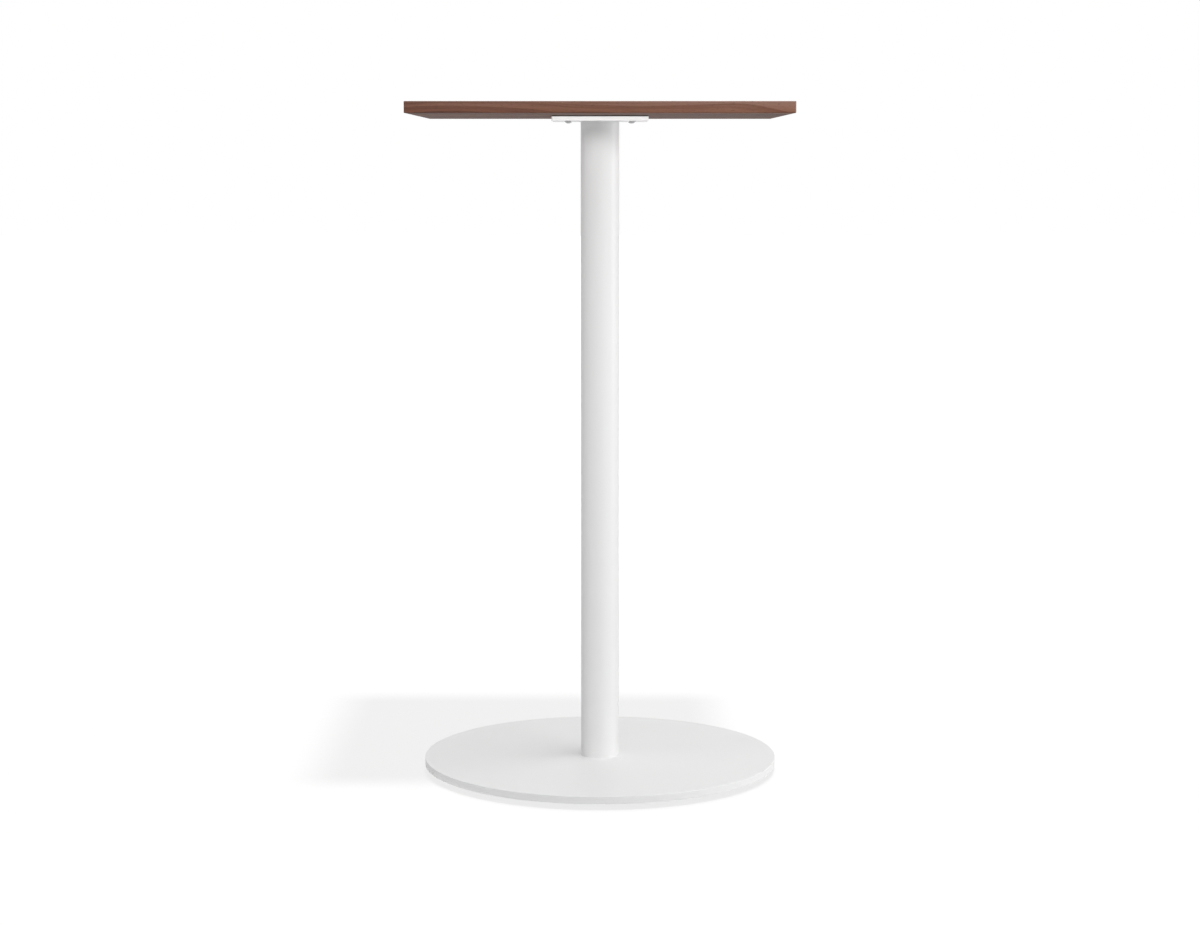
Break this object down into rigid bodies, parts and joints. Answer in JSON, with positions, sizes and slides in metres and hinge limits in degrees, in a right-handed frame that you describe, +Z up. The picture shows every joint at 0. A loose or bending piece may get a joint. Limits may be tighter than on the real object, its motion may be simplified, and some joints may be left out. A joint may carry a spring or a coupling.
{
  "type": "outdoor bar table",
  "caption": "Bar-height pedestal table: thin square walnut top on a slim round white steel column with a flat round white steel base on levelling glides.",
  "frame": {"origin": "on the floor under the centre of the column", "axes": "+Z up; X across the front, along the wood's grain; -Y towards the front"},
  "size_m": [0.6, 0.6, 1.11],
  "materials": {
    "walnut": "oiled satin",
    "white_coat": "fine matt powder coat",
    "steel": "zinc plated",
    "brass": "machined",
    "dark_pad": "matt",
    "nylon": "moulded nylon"
  },
  "bodies": {
    "table": {"table_top": "walnut", "top_inserts": "brass", "plate_gasket": "dark_pad", "mounting_plate": "white_coat", "plate_screws": "steel", "column_tube": "white_coat", "column_foot_plug": "steel", "base_disc": "white_coat", "base_screws": "steel"},
    "pad_1": {"glide_pad_1": "nylon"},
    "stem_1": {"glide_stem_1": "steel"},
    "pad_2": {"glide_pad_2": "nylon"},
    "stem_2": {"glide_stem_2": "steel"},
    "pad_3": {"glide_pad_3": "nylon"},
    "stem_3": {"glide_stem_3": "steel"},
    "pad_4": {"glide_pad_4": "nylon"},
    "stem_4": {"glide_stem_4": "steel"}
  },
  "joints": [
    {"name": "glide_lift_1", "type": "slide", "parent": "table", "child": "pad_1", "axis": [0, 0, -1], "range_m": [0, 0.004]},
    {"name": "glide_turn_1", "type": "hinge", "parent": "pad_1", "child": "stem_1", "pos_m": [0.16617, 0.16617, 0.01], "axis": [0, 0, -1], "range_deg": [0, 1153]},
    {"name": "glide_lift_2", "type": "slide", "parent": "table", "child": "pad_2", "axis": [0, 0, -1], "range_m": [0, 0.004]},
    {"name": "glide_turn_2", "type": "hinge", "parent": "pad_2", "child": "stem_2", "pos_m": [-0.16617, 0.16617, 0.01], "axis": [0, 0, -1], "range_deg": [0, 1153]},
    {"name": "glide_lift_3", "type": "slide", "parent": "table", "child": "pad_3", "axis": [0, 0, -1], "range_m": [0, 0.004]},
    {"name": "glide_turn_3", "type": "hinge", "parent": "pad_3", "child": "stem_3", "pos_m": [-0.16617, -0.16617, 0.01], "axis": [0, 0, -1], "range_deg": [0, 1153]},
    {"name": "glide_lift_4", "type": "slide", "parent": "table", "child": "pad_4", "axis": [0, 0, -1], "range_m": [0, 0.004]},
    {"name": "glide_turn_4", "type": "hinge", "parent": "pad_4", "child": "stem_4", "pos_m": [0.16617, -0.16617, 0.01], "axis": [0, 0, -1], "range_deg": [0, 1153]}
  ],
  "couplings": [
    {"joint": "glide_turn_1", "follows": "glide_lift_1", "rad_per_m": 5026.5},
    {"joint": "glide_turn_2", "follows": "glide_lift_2", "rad_per_m": 5026.5},
    {"joint": "glide_turn_3", "follows": "glide_lift_3", "rad_per_m": 5026.5},
    {"joint": "glide_turn_4", "follows": "glide_lift_4", "rad_per_m": 5026.5}
  ]
}
